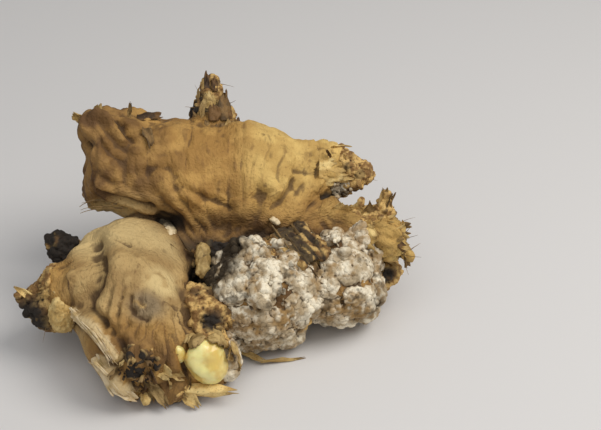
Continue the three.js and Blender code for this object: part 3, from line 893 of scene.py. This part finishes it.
FLESH = flesh_material()
for name, (centre, radii) in FLESH_BALLS.items():
    ball = bmesh.new()
    bmesh.ops.create_icosphere(ball, subdivisions=5, radius=MM, matrix=Matrix.Diagonal((*radii, 1)))
    for vert in ball.verts:
        swollen = 0.2 * noise.noise(vert.co / (5 * MM)) + 0.05 * noise.noise(vert.co / (1.7 * MM))
        vert.co += vert.co * swollen + Vector(centre) * MM
    mesh = bpy.data.meshes.new(name)
    ball.to_mesh(mesh)
    ball.free()
    placed(mesh, name, FLESH)

# ---------------------------------------------------------------------------------------------------------
# The torn edge. Down the left finger's front edge the skin has peeled into a thick pale ribbon of fibre,
# rolled over at its foot, and loose fibres stand out wherever the root was torn.


def pale_material():
    material, tree, surface = new_material("pale torn fibre", 0.85)
    grain = grained(tree, 3, 0.5)
    pale = mottled(tree, grain, 0.36, 0.6, (0.52, 0.37, 0.162), (0.74, 0.60, 0.38))
    # Painted shade in creases and deep gaps.
    colour = shaded(tree, pale, 0.1, 0.9, 0.85, (0.16, 0.08, 0.025))
    tree.links.new(colour, surface.inputs["Base Color"])
    roughen(tree, surface, grain["Height"], 0.7, 0.3)
    return material


PALE = pale_material()
leaves("torn_flap", [
    ((-35, -40, 16.5), (-29.5, -46.5, 9), 3.2, -0.8, (-0.7, -1, 0.2), 0.1, 0.9),
    ((-29, -45, 9.5), (-22, -46.5, 6.5), 3.6, 1.5, (-0.1, -0.8, 1), 0.1, 0.8),
], PALE)

# Small stubs beside the left finger: the line of each, its radius, its age and what it is made of.
STUBS = {
    "pale_flake": ([(16, 1.2, 35.8), (17.6, 0.9, 35)], 0.9, 0, PALE, "skin"),
    "pale_stub": ([(-17.5, 8, 29.5), (-15, 0.5, 30.6)], 2.1, 0, PALE, "skin"),
    "foot_stub": ([(-20.6, -42.5, 4.4), (-19.8, -44.2, 4.2)], 1.3, 0.15, SCALE_LEAF, "scales"),
    "dry_stub": ([(-4.8, -4, 28.5), (-4.4, -12, 25.8)], 2.2, 0.5, SCALE_LEAF, "scales"),
    "side_swelling": ([(-46, -22.4, 21.5), (-45.5, -23.6, 16.5)], 3.3, 0.22, SCALE_LEAF, "scales"),
}
for name, (line, radius, age, material, slot) in STUBS.items():
    places = np.linspace(*np.array(line, float), 11)
    stub = lumps(name, [(places, 0.85 * radius, radius)], CRUMB_GRAIN, [], smoothing=12)
    keep_value(stub, "age", np.repeat(age, len(stub.vertices)))
    placed(stub, name, material)


def fibres(name, strands, material):
    """A piece of fine fibres. Each strand is its points in millimetres and its radius at the root."""
    wire = bpy.data.curves.new(name, "CURVE")
    wire.dimensions = "3D"
    wire.bevel_depth = MM
    wire.bevel_resolution = 1
    wire.resolution_u = 4
    wire.use_fill_caps = True
    for points, radius in strands:
        line = wire.splines.new("NURBS")
        line.points.add(len(points) - 1)
        line.use_endpoint_u = True
        for number, (knot, point) in enumerate(zip(line.points, points)):
            knot.co = (*(Vector(point) * MM), 1)
            knot.radius = radius * (1 - 0.8 * number / (len(points) - 1))
    drawn = bpy.data.objects.new(name + "_line", wire)
    bpy.context.collection.objects.link(drawn)
    mesh = bpy.data.meshes.new_from_object(drawn.evaluated_get(bpy.context.evaluated_depsgraph_get()))
    bpy.data.objects.remove(drawn)
    keep_value(mesh, "age", np.repeat(0.85, len(mesh.vertices)))
    placed(mesh, name, material)


def tuft(reach, count, length, radius, lean=(0, 0, 0)):
    """Strands that grow out of the skin at places picked by chance, and curl."""
    strands = []
    for picked in sprinkled(reach, count):
        root, way = sculpted[picked] - 0.5 * outward[picked], outward[picked] + np.array(lean)
        swing = CHANCE.normal(0, 0.45, 3)
        far = length * CHANCE.uniform(0.5, 1.2)
        points = [root + (way + swing * share * 1.6) * far * share for share in (0, 0.35, 0.7, 1)]
        points = [np.maximum(point, (-99, -99, 0.2)) for point in points]
        strands.append((points, radius * CHANCE.uniform(0.6, 1.2)))
    return strands


def bundle(line, count, spread, radius):
    """Strands that lie side by side along a line of places."""
    strands = []
    for _ in range(count):
        aside = CHANCE.normal(0, spread, 3)
        points = [np.array(place) + aside + CHANCE.normal(0, 0.5, 3) for place in line]
        strands.append((points, radius * CHANCE.uniform(0.5, 1.5)))
    return strands


fibres("ribbon_fibres", [
    *bundle([(-41.5, -26, 21.5), (-38, -31.8, 22.8), (-34.7, -35.6, 23.2), (-31, -40.6, 21.5),
             (-28.5, -43.6, 19)], 40, 0.6, 0.22),
    *bundle([(-33, -41.5, 16.5), (-29.3, -44.8, 14.4), (-26.6, -45.4, 10.5), (-24, -44.9, 8)], 30, 0.6, 0.22),
], PALE)
fibres("root_hairs", [
    *tuft(part["back_bud"] * ramp(sz, 50, 55), 14, 2.6, 0.16),
    *tuft(tip_reach, 10, 2.2, 0.14),
    *tuft(part["crown"] * ramp(sx, 44, 50), 14, 3, 0.16),
    *tuft(part["foot"] + part["broken"], 18, 3, 0.16),
    *tuft(part["side"] * ramp(-sx, 44, 50), 10, 2.4, 0.15),
    *tuft(curtain * ramp(-sz, -34, -28), 30, 4.5, 0.22, (0.1, -0.6, -0.8)),
    *bundle([(-30, 6.5, 39.5), (-34, 6.8, 38.5), (-38, 6, 40), (-42, 4, 38.5)], 4, 0.9, 0.3),
    *bundle([(31, 17, 33), (32.5, 15.5, 31), (33.5, 15, 29.5)], 6, 1, 0.3),
    *bundle([(20.5, 2.5, 31), (23, -2, 31.5), (26, -6.5, 30), (29.4, -11.4, 27.5)], 8, 1.9, 0.25),
    *bundle([(17.5, -0.5, 31), (20, -5, 31), (23, -9.5, 30), (25.8, -13.5, 28.1)], 8, 1.7, 0.25),
], SCALE_LEAF)

# ---------------------------------------------------------------------------------------------------------
# The stage. A pale seamless floor that the root stands on, under a broad soft lamp from the right and a
# larger, weaker one above and in front, in a soft room light.

floor_mesh = bpy.data.meshes.new("floor")
sheet = bmesh.new()
bmesh.ops.create_grid(sheet, x_segments=1, y_segments=1, size=3)
sheet.to_mesh(floor_mesh)
sheet.free()
floor = bpy.data.objects.new("floor", floor_mesh)
bpy.context.collection.objects.link(floor)
floor_paint, floor_tree, floor_surface = new_material("pale floor", 0.6)
floor_surface.inputs["Base Color"].default_value = (0.68, 0.665, 0.65, 1)
floor_mesh.materials.append(floor_paint)


def lamp(name, place, aim, size, power, colour):
    light = bpy.data.lights.new(name, "AREA")
    light.shape = "DISK"
    light.size = size
    light.energy = power
    light.color = colour
    stand = bpy.data.objects.new(name, light)
    bpy.context.collection.objects.link(stand)
    stand.location = place
    stand.rotation_euler = (Vector(aim) - Vector(place)).to_track_quat("-Z", "Y").to_euler()


lamp("window", (0.42, -0.1, 0.62), (0, 0, 0.02), 0.5, 3.5, (1.0, 0.97, 0.93))
lamp("ceiling", (-0.1, -0.45, 0.9), (0, 0, 0.02), 1.1, 3.8, (0.97, 0.98, 1.0))
room = bpy.data.worlds.new("room")
room.use_nodes = True
room.node_tree.nodes["Background"].inputs["Color"].default_value = (0.93, 0.94, 0.96, 1)
room.node_tree.nodes["Background"].inputs["Strength"].default_value = 0.26
bpy.context.scene.world = room
bpy.context.scene.view_settings.view_transform = "Standard"

CAMERA_AIM = Vector((24.6, 0.58, 37.9)) * MM
CAMERA_DISTANCE = 425.7 * MM
CAMERA_ELEVATION = np.radians(35)
lens = bpy.data.cameras.new("camera")
lens.lens = 85
camera = bpy.data.objects.new("camera", lens)
bpy.context.collection.objects.link(camera)
away = Vector((0, -np.cos(CAMERA_ELEVATION), np.sin(CAMERA_ELEVATION)))
camera.location = CAMERA_AIM + CAMERA_DISTANCE * away
camera.rotation_euler = (-away).to_track_quat("-Z", "Y").to_euler()
bpy.context.scene.camera = camera
